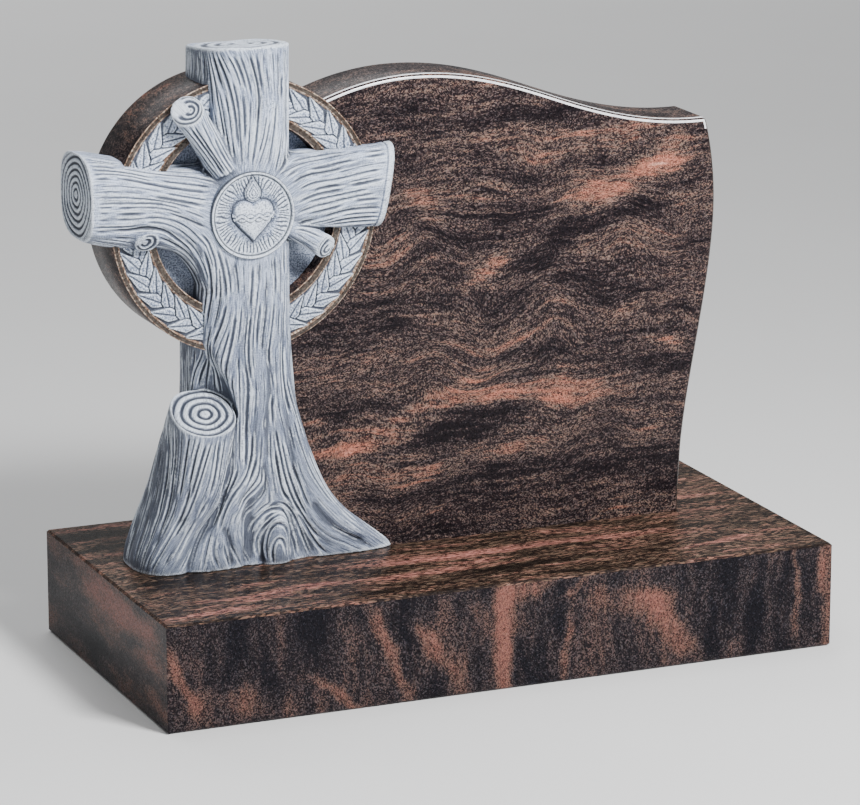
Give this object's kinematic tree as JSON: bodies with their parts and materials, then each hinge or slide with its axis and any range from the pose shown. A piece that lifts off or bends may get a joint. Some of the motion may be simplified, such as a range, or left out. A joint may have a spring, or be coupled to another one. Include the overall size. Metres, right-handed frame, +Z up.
{
  "type": "celtic cross headstone",
  "caption": "Granite headstone: a carved tree-trunk cross on a leaf-banded ring, running on into a polished tablet with a waved top, bedded on a slab base.",
  "frame": {"origin": "centre of the base slab's underside", "axes": "+X along the base to the tablet's side, +Y from the carved front to the back, +Z up"},
  "size_m": [1.01, 0.495, 0.8723],
  "materials": {
    "polished_granite": "polished dark granite with brown and salmon veins",
    "carved_granite": "hand-carved and toned silver grey, dark in the cuts"
  },
  "bodies": {
    "root": {"headstone": "carved_granite", "base": "polished_granite"}
  },
  "joints": []
}
